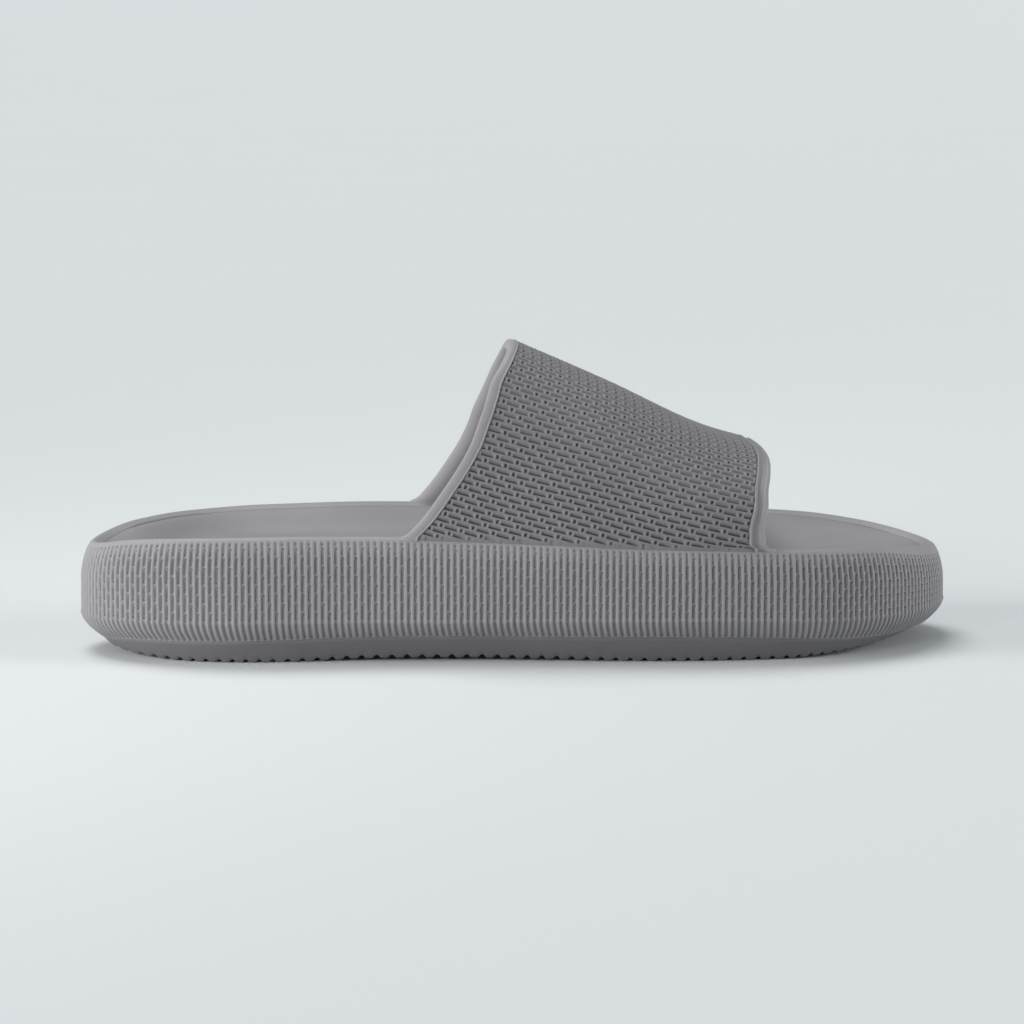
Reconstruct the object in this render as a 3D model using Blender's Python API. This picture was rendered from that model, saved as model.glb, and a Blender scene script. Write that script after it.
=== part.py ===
"""Slide sandal for the right foot: a strap over a thick ribbed midsole, with a footbed and a lugged outsole.

The heel points to -X, the toe to +X, the outer (lateral) side of the foot to -Y and +Z is up.
The origin is on the floor, under the middle of the sandal. Lengths are in metres.
"""

import math
from collections import namedtuple

import bmesh
import bpy
from mathutils import Vector

# Driving sizes
LENGTH = 0.287
BALL_WIDTH = 0.107
HEEL_HEIGHT = 0.041
INSTEP_HEIGHT = 0.1009
STRAP_FRONT_HEIGHT = 0.0645
ARCH_RISE = 0.0016
TREAD_SPRING = 0.005

# Round ends of the sole, and how far its toe turns to the inner side
HEEL_ROUND = 0.060
TOE_ROUND = 0.060
TOE_SWING = 0.004

# Side wall of the midsole
RIB_PITCH = 0.0021
RIB_DEPTH = 0.0006
SHOULDER_DROP = 0.0065
SHOULDER_INSET = 0.0009
RIB_TOP_DROP = 0.0016
RIB_TOP_INSET = 0.0026
RIB_FOOT_INSET = 0.0036
STEP_UNDER_RIBS = 0.0010

# How much further the foot of the side is drawn in at the end of the heel, and how far that reaches
HEEL_TUCK = 0.0026
HEEL_TUCK_REACH = 0.030

# Smooth rim round the top of the midsole
RIM_WIDTH = 0.0052
RIM_EDGE = 0.0009

# Footbed
FOOTBED_THICKNESS = 0.0045
FOOTBED_EDGE_DROP = 0.0012
FOOTBED_SLOPE = 0.0160

# Outsole
OUTSOLE_FLARE = 0.0038
LUG_PITCH = 0.0047
NOTCH_WIDTH = 0.0018
NOTCH_DEPTH = 0.0012

# Strap
WALL = 0.0040
STRAP_INSET = 0.0030
STRAP_SKEW = 0.0090
ARCH_FULLNESS = 2.5
CROWN_SHIFT = 0.003
REAR_BEAD_WIDTH = 0.0034
FRONT_BEAD_WIDTH = 0.0046
BEAD_RAISE = 0.0005
EDGE_ROUND = 0.0012

# Clearance where two pieces meet
FIT = 0.0003

# Fineness of the faceted surfaces
SIDE_STATIONS = 40
OUTLINE_SAMPLES = 1200
END_STATIONS = 5
ARCH_STATIONS = 44
PANEL_STATIONS = 5
LINING_STATIONS = 4

# Sections of the sole from heel to toe. The column along is a share of LENGTH, lateral and medial are
# half-widths as shares of half the ball width, before the ends are rounded. Rim, seam, foot and seat
# are heights as shares of HEEL_HEIGHT, arch is a share of ARCH_RISE and lift a share of TREAD_SPRING.
SoleSection = namedtuple("SoleSection", "along lateral medial rim arch seam foot seat lift")
SOLE_SECTIONS = (
    SoleSection(0.00, 0.72, 0.72, 0.865, 0.0, 0.300, 0.105, 0.790, 0.48),
    SoleSection(0.05, 0.74, 0.74, 0.945, 0.0, 0.318, 0.157, 0.805, 0.14),
    SoleSection(0.12, 0.77, 0.77, 0.985, 0.0, 0.332, 0.180, 0.810, 0.00),
    SoleSection(0.22, 0.78, 0.78, 1.000, 0.3, 0.344, 0.194, 0.815, 0.00),
    SoleSection(0.32, 0.79, 0.77, 0.995, 0.8, 0.340, 0.208, 0.825, 0.18),
    SoleSection(0.42, 0.83, 0.77, 0.973, 1.0, 0.336, 0.212, 0.830, 0.20),
    SoleSection(0.52, 0.90, 0.82, 0.948, 0.9, 0.348, 0.210, 0.815, 0.12),
    SoleSection(0.62, 0.97, 0.91, 0.918, 0.6, 0.354, 0.210, 0.790, 0.00),
    SoleSection(0.70, 1.00, 0.97, 0.904, 0.2, 0.354, 0.205, 0.770, 0.00),
    SoleSection(0.78, 0.99, 1.00, 0.886, 0.0, 0.340, 0.186, 0.750, 0.04),
    SoleSection(0.87, 0.95, 0.98, 0.860, 0.0, 0.318, 0.153, 0.730, 0.28),
    SoleSection(0.94, 0.88, 0.93, 0.815, 0.0, 0.302, 0.142, 0.710, 0.62),
    SoleSection(1.00, 0.80, 0.86, 0.748, 0.0, 0.305, 0.160, 0.690, 1.00),
)

# Edges of the strap in side view, from its foot to its crown. The column height is a share of the
# strap's rise, rear and front are places as shares of LENGTH from the heel.
StrapEdge = namedtuple("StrapEdge", "height rear front")
STRAP_EDGES = (
    StrapEdge(0.00, 0.358, 0.766),
    StrapEdge(0.06, 0.370, 0.758),
    StrapEdge(0.20, 0.3925, 0.757),
    StrapEdge(0.47, 0.4290, 0.7625),
    StrapEdge(0.63, 0.4420, 0.7650),
    StrapEdge(0.81, 0.4615, 0.7725),
    StrapEdge(0.95, 0.4800, 0.7785),
    StrapEdge(1.00, 0.4865, 0.7790),
)

# Crown of the strap from rear to front, as a share of the fall from instep to strap front
CrownPoint = namedtuple("CrownPoint", "along fall")
STRAP_CROWN = (
    CrownPoint(0.00, 0.00),
    CrownPoint(0.40, 0.42),
    CrownPoint(0.80, 0.86),
    CrownPoint(1.00, 1.00),
)

# The footbed's slope from its edge to its seat, as shares of FOOTBED_SLOPE and of the seat's depth
DishStep = namedtuple("DishStep", "inwards down")
FOOTBED_DISH = (
    DishStep(0.00, 0.00),
    DishStep(0.30, 0.38),
    DishStep(0.68, 0.84),
    DishStep(1.00, 1.00),
)

# Base colours of the foam, as linear values
GREY_FOAM = (0.235, 0.231, 0.240, 1.0)
DARK_FOAM = (0.205, 0.202, 0.212, 1.0)
PALE_FOAM = (0.262, 0.258, 0.268, 1.0)

Place = namedtuple("Place", "x y out_x out_y along medial turn")


def clear_scene():
    """Empties the scene of its objects."""
    for found in list(bpy.data.objects):
        bpy.data.objects.remove(found, do_unlink=True)


def smooth_value(rows, key, column, at):
    """The column's value at a place between two rows, on a curve that doesn't overshoot the rows."""
    keys = [getattr(row, key) for row in rows]
    values = [getattr(row, column) for row in rows]
    at = min(max(at, keys[0]), keys[-1])
    last = len(rows) - 1
    i = min(next(k for k in range(last, -1, -1) if keys[k] <= at), last - 1)
    slopes = [(values[k + 1] - values[k]) / (keys[k + 1] - keys[k]) for k in range(last)]

    def tangent(k):
        before, after = slopes[max(k - 1, 0)], slopes[min(k, last - 1)]
        if before * after <= 0:
            return 0.0 if 0 < k < last else after
        return 2 * before * after / (before + after)

    span = keys[i + 1] - keys[i]
    t = (at - keys[i]) / span
    return (
        (2 * t**3 - 3 * t**2 + 1) * values[i]
        + (t**3 - 2 * t**2 + t) * span * tangent(i)
        + (3 * t**2 - 2 * t**3) * values[i + 1]
        + (t**3 - t**2) * span * tangent(i + 1)
    )


def sole_value(column, along):
    """A column of the sole's table at a share of the length."""
    return smooth_value(SOLE_SECTIONS, "along", column, along)


def round_end(along):
    """How far the round heel and toe have opened to the full width, from 0 at the ends to 1."""
    to_heel = min(along * LENGTH / HEEL_ROUND, 1.0)
    to_toe = min((1 - along) * LENGTH / TOE_ROUND, 1.0)
    return math.sqrt(1 - (1 - to_heel) ** 2) * math.sqrt(1 - (1 - to_toe) ** 2)


def side_reach(along, medial):
    """Y of the sole's widest line on one side."""
    half = BALL_WIDTH / 2 * sole_value("medial" if medial else "lateral", along) * round_end(along)
    towards_toe = max(0.0, 1 - (1 - along) * LENGTH / TOE_ROUND)
    return (half if medial else -half) + TOE_SWING * towards_toe**2


def outline_samples():
    """Close points of the widest line, from the heel along the lateral side and back, with along and side."""
    points = []
    half = OUTLINE_SAMPLES // 2
    for medial in (False, True):
        for k in range(half):
            share = (1 - math.cos(math.pi * k / half)) / 2
            along = 1 - share if medial else share
            points.append((LENGTH * (along - 0.5), side_reach(along, medial), along, medial))
    return points


SAMPLES = outline_samples()


def running_length():
    """Distance round the widest line from the heel to each sample, and back to the heel."""
    reached = [0.0]
    for k, sample in enumerate(SAMPLES):
        after = SAMPLES[(k + 1) % len(SAMPLES)]
        reached.append(reached[-1] + math.hypot(after[0] - sample[0], after[1] - sample[1]))
    return reached


REACHED = running_length()
PERIMETER = REACHED[-1]


def place_at(index):
    """The place on the widest line at a whole or broken sample number."""
    count = len(SAMPLES)
    low = int(math.floor(index)) % count
    part = index - math.floor(index)
    here, after = SAMPLES[low], SAMPLES[(low + 1) % count]
    before, beyond = SAMPLES[(low - 1) % count], SAMPLES[(low + 2) % count]
    x, y = (here[k] + (after[k] - here[k]) * part for k in (0, 1))
    ahead = [(after[k] - before[k]) * (1 - part) + (beyond[k] - here[k]) * part for k in (0, 1)]
    size = math.hypot(*ahead)
    along = here[2] + (after[2] - here[2]) * part
    turn = (REACHED[low] + (REACHED[low + 1] - REACHED[low]) * part) / PERIMETER
    return Place(x, y, ahead[1] / size, -ahead[0] / size, along, here[3], turn)


def place_on_side(along, medial):
    """The place on one side of the widest line at a share of the length."""
    index = OUTLINE_SAMPLES / 2 * math.acos(1 - 2 * along) / math.pi
    return place_at(OUTLINE_SAMPLES - index if medial else index)


def coarse_places():
    """Places that lie in pairs across the sole: heel, lateral side, toe, medial side."""
    step = OUTLINE_SAMPLES / (2 * SIDE_STATIONS)
    return [place_at(k * step) for k in range(2 * SIDE_STATIONS)]


def even_places(count):
    """Places that are evenly spaced round the sole."""
    places, low = [], 0
    for k in range(count):
        distance = PERIMETER * k / count
        while REACHED[low + 1] < distance:
            low += 1
        places.append(place_at(low + (distance - REACHED[low]) / (REACHED[low + 1] - REACHED[low])))
    return places


def rim_height(place):
    """Height of the rim's crest, raised along the arch on the medial side."""
    arch = ARCH_RISE * sole_value("arch", place.along) if place.medial else 0.0
    return HEEL_HEIGHT * sole_value("rim", place.along) + arch


def level(column):
    """A height of the sole's table as a function of the place."""
    return lambda place: HEEL_HEIGHT * sole_value(column, place.along)


def tread_height(along):
    """Height of the walking surface over the floor: heel bevel, low arch and toe spring."""
    return TREAD_SPRING * sole_value("lift", along)


def inside(place, inset, height):
    """The point a given distance inside the widest line at a place."""
    return Vector((place.x - place.out_x * inset, place.y - place.out_y * inset, height))


def ring(places, inset, height):
    """Points a given distance inside the widest line, at a height that depends on the place."""
    return [(inside(place, inset, height(place)), place.turn) for place in places]


def drawn_in(places):
    """The places, moved inwards round the end of the heel, where the side curves further under the sole."""
    moved = []
    for place in places:
        tuck = HEEL_TUCK * max(0.0, 1 - place.along * LENGTH / HEEL_TUCK_REACH) ** 2
        moved.append(place._replace(x=place.x - place.out_x * tuck, y=place.y - place.out_y * tuck))
    return moved


def ribbed_ring(places, inset, height):
    """A ring whose points lie in turn on the crest of a rib and in the groove beside it."""
    crests = ring(places, inset, height)
    grooves = ring(places, inset + RIB_DEPTH, height)
    return [(crests if k % 2 == 0 else grooves)[k] for k in range(len(places))]


class Loft:
    """A closed surface built from rings of points, from the lowest or outermost ring to the last."""

    def __init__(self):
        self.bm = bmesh.new()
        self.last = None

    def add(self, points):
        """Joins the next ring to the last one by triangles, however many points each has."""
        made = [(self.bm.verts.new(point), turn) for point, turn in points]
        if self.last is not None:
            self.join(self.last, made)
        self.last = made
        return made

    def join(self, low, high):
        i = j = 0
        while i < len(low) or j < len(high):
            next_low = low[i + 1][1] if i + 1 < len(low) else 1.0
            next_high = high[j + 1][1] if j + 1 < len(high) else 1.0
            a, b = low[i % len(low)][0], high[j % len(high)][0]
            if j == len(high) or (i < len(low) and next_low <= next_high):
                i += 1
                self.bm.faces.new((a, low[i % len(low)][0], b))
            else:
                j += 1
                self.bm.faces.new((a, high[j % len(high)][0], b))

    def cap(self, made, facing_up):
        """Closes a coarse ring with strips from its lateral to its medial side."""
        verts = [vert for vert, _ in made]
        toe = len(verts) // 2
        for k in range(toe):
            strip = [verts[k], verts[k + 1], verts[-k - 1], verts[-k]]
            corners = list(dict.fromkeys(strip))
            self.bm.faces.new(corners if facing_up else corners[::-1])


def finish_object(name, bm, colour, roughness, collection):
    """Makes the object of a closed mesh, with its material and smooth shading."""
    bmesh.ops.recalc_face_normals(bm, faces=bm.faces)
    mesh = bpy.data.meshes.new(name)
    bm.to_mesh(mesh)
    bm.free()
    mesh.shade_smooth()
    mesh.set_sharp_from_angle(angle=math.radians(30))
    material = bpy.data.materials.new(name + "_foam")
    material.use_nodes = True
    shader = material.node_tree.nodes["Principled BSDF"]
    shader.inputs["Base Color"].default_value = colour
    shader.inputs["Roughness"].default_value = roughness
    shader.inputs["Metallic"].default_value = 0.0
    mesh.materials.append(material)
    made = bpy.data.objects.new(name, mesh)
    collection.objects.link(made)
    return made


def recess_inset():
    """How far inside the widest line the footbed's recess starts."""
    return RIB_TOP_INSET + RIM_WIDTH


def midsole_foot_inset():
    """How far inside the widest line the midsole meets the outsole."""
    return RIB_FOOT_INSET + RIB_DEPTH + STEP_UNDER_RIBS


def floor_height(place):
    """Height of the recess's floor."""
    return level("seat")(place) - FOOTBED_THICKNESS - FIT


def build_midsole(collection):
    """The ribbed body of the sole, with its chamfer under the seam, its rim and the footbed's recess."""
    coarse = coarse_places()
    ribbed = even_places(2 * round(PERIMETER / RIB_PITCH))
    seam, foot = level("seam"), level("foot")
    crest_width = RIM_WIDTH - 2 * RIM_EDGE
    loft = Loft()
    bottom = loft.add(ring(drawn_in(coarse), midsole_foot_inset(), foot))
    loft.cap(bottom, facing_up=False)
    loft.add(ribbed_ring(drawn_in(ribbed), RIB_FOOT_INSET, foot))
    loft.add(ribbed_ring(ribbed, 0.0, seam))
    loft.add(ribbed_ring(ribbed, SHOULDER_INSET, lambda p: rim_height(p) - SHOULDER_DROP))
    loft.add(ribbed_ring(ribbed, RIB_TOP_INSET, lambda p: rim_height(p) - RIB_TOP_DROP))
    loft.add(ring(coarse, RIB_TOP_INSET + RIB_DEPTH, lambda p: rim_height(p) - RIM_EDGE / 2))
    loft.add(ring(coarse, RIB_TOP_INSET + RIB_DEPTH + RIM_EDGE, rim_height))
    loft.add(ring(coarse, RIB_TOP_INSET + RIM_EDGE + crest_width, rim_height))
    loft.add(ring(coarse, recess_inset(), lambda p: rim_height(p) - RIM_EDGE))
    recess = loft.add(ring(coarse, recess_inset(), floor_height))
    loft.cap(recess, facing_up=True)
    return finish_object("midsole", loft.bm, GREY_FOAM, 0.62, collection)


def build_footbed(collection):
    """The cupped footbed, which fills the recess and dips from the rim to the seat of the foot."""
    coarse = coarse_places()
    edge = recess_inset() + FIT

    def dish(down):
        def height(place):
            high = rim_height(place) - FOOTBED_EDGE_DROP
            return high + (level("seat")(place) - high) * down

        return height

    loft = Loft()
    underside = loft.add(ring(coarse, edge, lambda p: floor_height(p) + FIT))
    loft.cap(underside, facing_up=False)
    loft.add(ring(coarse, edge, lambda p: rim_height(p) - FOOTBED_EDGE_DROP - RIM_EDGE))
    for step in FOOTBED_DISH:
        inset = edge + RIM_EDGE + (FOOTBED_SLOPE - RIM_EDGE) * step.inwards
        seat = loft.add(ring(coarse, inset, dish(step.down)))
    loft.cap(seat, facing_up=True)
    return finish_object("footbed", loft.bm, PALE_FOAM, 0.70, collection)


def tread_stations():
    """Shares of the length at which the tread turns, with the depth of the notch there. The lugs run
    straight across the sole, and the ends before the first and after the last lug are round."""
    count = round(LENGTH / LUG_PITCH)
    pitch = 1 / count
    half_notch = NOTCH_WIDTH / LENGTH / 2
    start = [(pitch * (k / END_STATIONS) ** 2, 0.0) for k in range(END_STATIONS)]
    stations = list(start)
    for k in range(1, count):
        middle = k * pitch
        stations += [(middle - half_notch, 0.0), (middle, NOTCH_DEPTH), (middle + half_notch, 0.0)]
    return stations + [(1 - share, depth) for share, depth in start[::-1]]


def build_outsole(collection):
    """The smooth band under the midsole, with lugs across its tread and notches between them."""
    stations = tread_stations()
    alongs = [share for share, _ in stations]
    notches = [depth for _, depth in stations]
    there = [place_on_side(share, False) for share in alongs]
    back = [place_on_side(share, True) for share in alongs[-2:0:-1]]
    places = there + back
    depths = notches + notches[-2:0:-1]
    top_inset = midsole_foot_inset()
    loft = Loft()
    treads = []
    for place, depth in zip(places, depths):
        inset = top_inset + OUTSOLE_FLARE
        height = tread_height(place.along) + depth
        treads.append((inside(place, inset, height), place.turn))
    bottom = loft.add(treads)
    loft.cap(bottom, facing_up=False)
    top = loft.add(ring(drawn_in(places), top_inset, lambda p: level("foot")(p) - FIT))
    loft.cap(top, facing_up=True)
    return finish_object("outsole", loft.bm, DARK_FOAM, 0.55, collection)


def strap_point(angle, across):
    """A point of the strap's outer surface. Angle runs from the lateral foot (0) over the crown to the
    medial foot (pi), across from the rear edge (0) to the front edge (1)."""
    medial = angle > math.pi / 2
    breadth = abs(math.cos(angle)) ** (2 / ARCH_FULLNESS)
    height = math.sin(angle) ** (2 / ARCH_FULLNESS)
    rear = smooth_value(STRAP_EDGES, "height", "rear", height)
    front = smooth_value(STRAP_EDGES, "height", "front", height)
    skew = STRAP_SKEW * breadth**2 if medial else 0.0
    x = LENGTH * (rear + (front - rear) * across - 0.5) + skew
    foot_along = STRAP_EDGES[0].rear + (STRAP_EDGES[0].front - STRAP_EDGES[0].rear) * across
    foot_along += STRAP_SKEW / LENGTH if medial else 0.0
    side = side_reach(foot_along, medial)
    side += -STRAP_INSET if medial else STRAP_INSET
    y = CROWN_SHIFT + (side - CROWN_SHIFT) * breadth
    foot = rim_height(Place(0, 0, 0, 0, foot_along, medial, 0)) + FIT
    fall = smooth_value(STRAP_CROWN, "along", "fall", across)
    crown = INSTEP_HEIGHT + (STRAP_FRONT_HEIGHT - INSTEP_HEIGHT) * fall
    return Vector((x, y, foot + (crown - foot) * height))


def strap_normal(angle, across):
    """The direction straight out of the strap's outer surface."""
    step = 1e-3
    low, high = max(angle - step, 1e-6), min(angle + step, math.pi - 1e-6)
    round_arch = strap_point(high, across) - strap_point(low, across)
    along = strap_point(angle, min(across + step, 1)) - strap_point(angle, max(across - step, 0))
    return along.cross(round_arch).normalized()


def bead_profile(width):
    """Section of the rounded bead along one edge of the strap, from the inner face round the edge to the
    panel: distance from the edge, and height over the panel's surface."""
    corner = EDGE_ROUND / math.sqrt(2)
    return (
        (EDGE_ROUND, -WALL),
        (0.0, EDGE_ROUND - WALL),
        (0.0, BEAD_RAISE - EDGE_ROUND),
        (EDGE_ROUND - corner, BEAD_RAISE - EDGE_ROUND + corner),
        (EDGE_ROUND, BEAD_RAISE),
        (width - BEAD_RAISE, BEAD_RAISE),
        (width, 0.0),
    )


def strap_profile():
    """The strap's section: place across, distance from the nearer edge, and height over the panel's
    surface. It runs round the rear bead, over the panel, round the front bead and back along the inside."""
    rear = [(0.0, reach, rise) for reach, rise in bead_profile(REAR_BEAD_WIDTH)]
    panel = [((k + 1) / (PANEL_STATIONS + 1), 0.0, 0.0) for k in range(PANEL_STATIONS)]
    front = [(1.0, -reach, rise) for reach, rise in bead_profile(FRONT_BEAD_WIDTH)[::-1]]
    lining = [(1 - (k + 1) / (LINING_STATIONS + 1), 0.0, -WALL) for k in range(LINING_STATIONS)]
    return rear + panel + front + lining


def build_strap(collection):
    """The moulded strap: one arched wall from foot to foot, with beaded edges and an open front and rear."""
    profile = strap_profile()
    bm = bmesh.new()
    rings = []
    for k in range(ARCH_STATIONS + 1):
        angle = math.pi * k / ARCH_STATIONS
        width = (strap_point(angle, 1) - strap_point(angle, 0)).length
        verts = []
        for across, reach, rise in profile:
            at = across + reach / width
            point = strap_point(angle, at)
            out = strap_normal(angle, at) * rise
            if k in (0, ARCH_STATIONS):
                out.z = 0.0
            verts.append(bm.verts.new(point + out))
        rings.append(verts)
    for before, after in zip(rings, rings[1:]):
        for k in range(len(profile)):
            bm.faces.new((before[k - 1], before[k], after[k], after[k - 1]))
    bm.faces.new(rings[0])
    bm.faces.new(rings[-1])
    bmesh.ops.triangulate(bm, faces=[face for face in bm.faces if len(face.verts) > 4])
    return finish_object("upper", bm, GREY_FOAM, 0.60, collection)


def main():
    clear_scene()
    collection = bpy.data.collections.new("slide_sandal")
    bpy.context.scene.collection.children.link(collection)
    build_outsole(collection)
    build_midsole(collection)
    build_footbed(collection)
    build_strap(collection)


main()
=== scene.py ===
"""Looks of a grey foam slide sandal, right foot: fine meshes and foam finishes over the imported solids.

The heel points to -X, the toe to +X, the outer side of the foot to -Y and +Z is up. Lengths are in metres.
"""

import math
from collections import namedtuple
from functools import partialmethod

import bpy
import numpy as np
from bpy.props import FloatProperty, FloatVectorProperty, PointerProperty
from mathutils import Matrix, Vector


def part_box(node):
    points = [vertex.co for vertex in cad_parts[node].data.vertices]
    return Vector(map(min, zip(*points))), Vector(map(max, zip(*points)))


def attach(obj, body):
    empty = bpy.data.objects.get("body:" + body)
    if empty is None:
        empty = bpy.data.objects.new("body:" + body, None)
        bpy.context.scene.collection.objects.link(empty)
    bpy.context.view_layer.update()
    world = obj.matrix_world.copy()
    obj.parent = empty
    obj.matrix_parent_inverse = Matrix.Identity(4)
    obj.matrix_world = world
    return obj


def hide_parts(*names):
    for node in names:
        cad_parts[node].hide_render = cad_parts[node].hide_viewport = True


bl_info = {
    "name": "Foam Slide Sandal",
    "version": (1, 0, 0),
    "blender": (4, 5, 0),
    "location": "3D View > Sidebar > Sandal",
    "description": "Builds the surfaces, foam finishes and studio of a slide sandal",
    "category": "Object",
}

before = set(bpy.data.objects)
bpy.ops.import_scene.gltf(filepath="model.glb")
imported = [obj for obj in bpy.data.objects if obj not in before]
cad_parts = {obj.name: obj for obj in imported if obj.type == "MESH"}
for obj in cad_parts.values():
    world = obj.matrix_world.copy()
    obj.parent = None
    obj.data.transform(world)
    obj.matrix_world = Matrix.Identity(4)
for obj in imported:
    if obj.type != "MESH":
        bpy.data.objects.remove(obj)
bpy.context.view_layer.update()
sole_low, sole_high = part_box("midsole")


def table(columns, *rows):
    """Rows of numbers with a name for each column."""
    row_kind = namedtuple("Row", columns)
    return tuple(row_kind(*row) for row in rows)


# Sizes of the sole
LENGTH = sole_high.x - sole_low.x
BALL_WIDTH = sole_high.y - sole_low.y
HEEL_HEIGHT = 0.041
ARCH_RISE = 0.0016
TREAD_SPRING = 0.005
HEEL_ROUND = 0.060
HEEL_TUCK = 0.0026
HEEL_TUCK_REACH = 0.030
TOE_ROUND = 0.060
TOE_SWING = 0.004
RECESS_INSET = 0.0078
RIB_FOOT_INSET = 0.0042
TREAD_INSET = 0.0090
LUG_PITCH = 0.0047
NOTCH_DEPTH = 0.0012
FOOTBED_EDGE_DROP = 0.0012
FOOTBED_SLOPE = 0.0160
FOOTBED_THICKNESS = 0.0045

# Sizes of the strap
INSTEP_HEIGHT = 0.1009
STRAP_FRONT_HEIGHT = 0.0645
WALL = 0.0040
STRAP_INSET = 0.0030
STRAP_SKEW = 0.0090
ARCH_FULLNESS = 2.5
CROWN_SHIFT = 0.003
REAR_EDGE_WIDTH = 0.0034
FRONT_EDGE_WIDTH = 0.0046

# Ends of the strap's section: radius of the outer corner and its height over the panel, width of the bevel
# that leads to the lining, and how far below the panel that begins
EDGE_ROUND = 0.0012
CORNER_RISE = 0.0003
EDGE_BEVEL = 0.0042
BEVEL_START = 0.0010

# How the strap flows into the rim: its foot is sunk, flares outwards and spreads along the rim
FOOT_SINK = 0.0014
FOOT_TUCK = 0.0004
FOOT_FLARE = 0.00035
FOOT_SPREAD = 0.0017
FOOT_REACH = 0.0026

# How far the rear edge rolls down at the crown, and the sine of the arch's angle where that begins
CROWN_ROLL_DROP = 0.0012
CROWN_ROLL_START = 0.70

# How far the visual strap's crown lies below the frame's at its rear edge
CROWN_TRIM = 0.0008

# How far the rear edge of the visual strap stands forward of the frame's, by height, on either side
REAR_TRIMS = table(
    "height outer inner",
    (0.00, 0.0000, 0.0000),
    (0.12, 0.0005, 0.0000),
    (0.32, 0.0005, -0.0003),
    (0.42, 0.0005, -0.0007),
    (0.52, 0.0008, -0.0008),
    (0.64, 0.0010, 0.0002),
    (0.73, 0.0004, 0.0006),
    (0.83, -0.0006, 0.0007),
    (0.94, -0.0002, 0.0006),
    (1.00, 0.0005, 0.0005),
)

# The crease between rim and footbed: its depth, and where along the sole it rises and falls
CREASE_DEPTH = 0.0007
CREASES = (((0.035, 0.06), (0.12, 0.15)), ((0.92, 0.945), (0.965, 0.98)))

# Depths of the footbed's faint prints and pores
PRINT_DEPTH = 0.00012
PORE_DEPTH = 0.00002

# Fineness of the meshes
OUTLINE_SAMPLES = 1200
PANEL_COLUMN = 0.0005
ARC_SAMPLES = 1601
ARC_ANGLES = np.linspace(1e-5, math.pi - 1e-5, ARC_SAMPLES)

# Sections of the sole from heel to toe. Lateral and medial are half-widths as shares of half the ball width,
# rim, seam, foot and seat heights as shares of the heel's, arch and lift shares of their own sizes above.
SOLE_SECTIONS = table(
    "along lateral medial rim arch seam foot seat lift",
    (0.00, 0.72, 0.72, 0.865, 0.0, 0.300, 0.105, 0.790, 0.48),
    (0.05, 0.74, 0.74, 0.945, 0.0, 0.318, 0.157, 0.805, 0.14),
    (0.12, 0.77, 0.77, 0.985, 0.0, 0.332, 0.180, 0.810, 0.00),
    (0.22, 0.78, 0.78, 1.000, 0.3, 0.344, 0.194, 0.815, 0.00),
    (0.32, 0.79, 0.77, 0.995, 0.8, 0.340, 0.208, 0.825, 0.18),
    (0.42, 0.83, 0.77, 0.973, 1.0, 0.336, 0.212, 0.830, 0.20),
    (0.52, 0.90, 0.82, 0.948, 0.9, 0.348, 0.210, 0.815, 0.12),
    (0.62, 0.97, 0.91, 0.918, 0.6, 0.354, 0.210, 0.790, 0.00),
    (0.70, 1.00, 0.97, 0.904, 0.2, 0.354, 0.205, 0.770, 0.00),
    (0.78, 0.99, 1.00, 0.886, 0.0, 0.340, 0.186, 0.750, 0.04),
    (0.87, 0.95, 0.98, 0.860, 0.0, 0.318, 0.153, 0.730, 0.28),
    (0.94, 0.88, 0.93, 0.815, 0.0, 0.302, 0.142, 0.710, 0.62),
    (1.00, 0.80, 0.86, 0.748, 0.0, 0.305, 0.160, 0.690, 1.00),
)

# Edges of the strap in side view: share of its rise, and places as shares of the length from the heel
STRAP_EDGES = table(
    "height rear front",
    (0.00, 0.3580, 0.7660),
    (0.06, 0.3700, 0.7580),
    (0.20, 0.3925, 0.7570),
    (0.47, 0.4290, 0.7625),
    (0.63, 0.4420, 0.7650),
    (0.81, 0.4615, 0.7725),
    (0.95, 0.4800, 0.7785),
    (1.00, 0.4865, 0.7790),
)

# Crown of the strap from rear to front, as a share of its fall
STRAP_CROWN = table("along fall", (0.00, 0.00), (0.40, 0.42), (0.80, 0.86), (1.00, 1.00))

# Section of one rib: place round the sole as a share of the rib's pitch, and height as a share of its depth
RIB_SHAPE = table(
    "around level",
    (0.00, 0.00),
    (0.16, 0.04),
    (0.30, 0.52),
    (0.43, 1.00),
    (0.72, 1.00),
    (0.87, 0.52),
)

# Shoulder of the side wall under the rim's crest: drop below the crest and inset from the widest line
SHOULDER = table(
    "drop inset",
    (0.0000, 0.00430),
    (0.0002, 0.00380),
    (0.0006, 0.00330),
    (0.0012, 0.00282),
    (0.0020, 0.00240),
    (0.0036, 0.00170),
    (0.0065, 0.00085),
    (0.0110, 0.00020),
    (0.0300, 0.00000),
)
# The rim inside the crest, down to the footbed's edge
INNER_RIM = table(
    "drop inset",
    (0.00000, 0.0047),
    (0.00010, 0.0052),
    (0.00028, 0.0057),
    (0.00052, 0.0063),
    (0.00078, 0.0069),
    (0.00100, 0.0074),
)

Places = namedtuple("Places", "x y out_x out_y along medial")
SideRow = namedtuple("SideRow", "inset height ribs share lean")
Sun = namedtuple("Sun", "name towards spread strength colour glossy")
Softbox = namedtuple("Softbox", "name place aim size strength spread")


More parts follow.
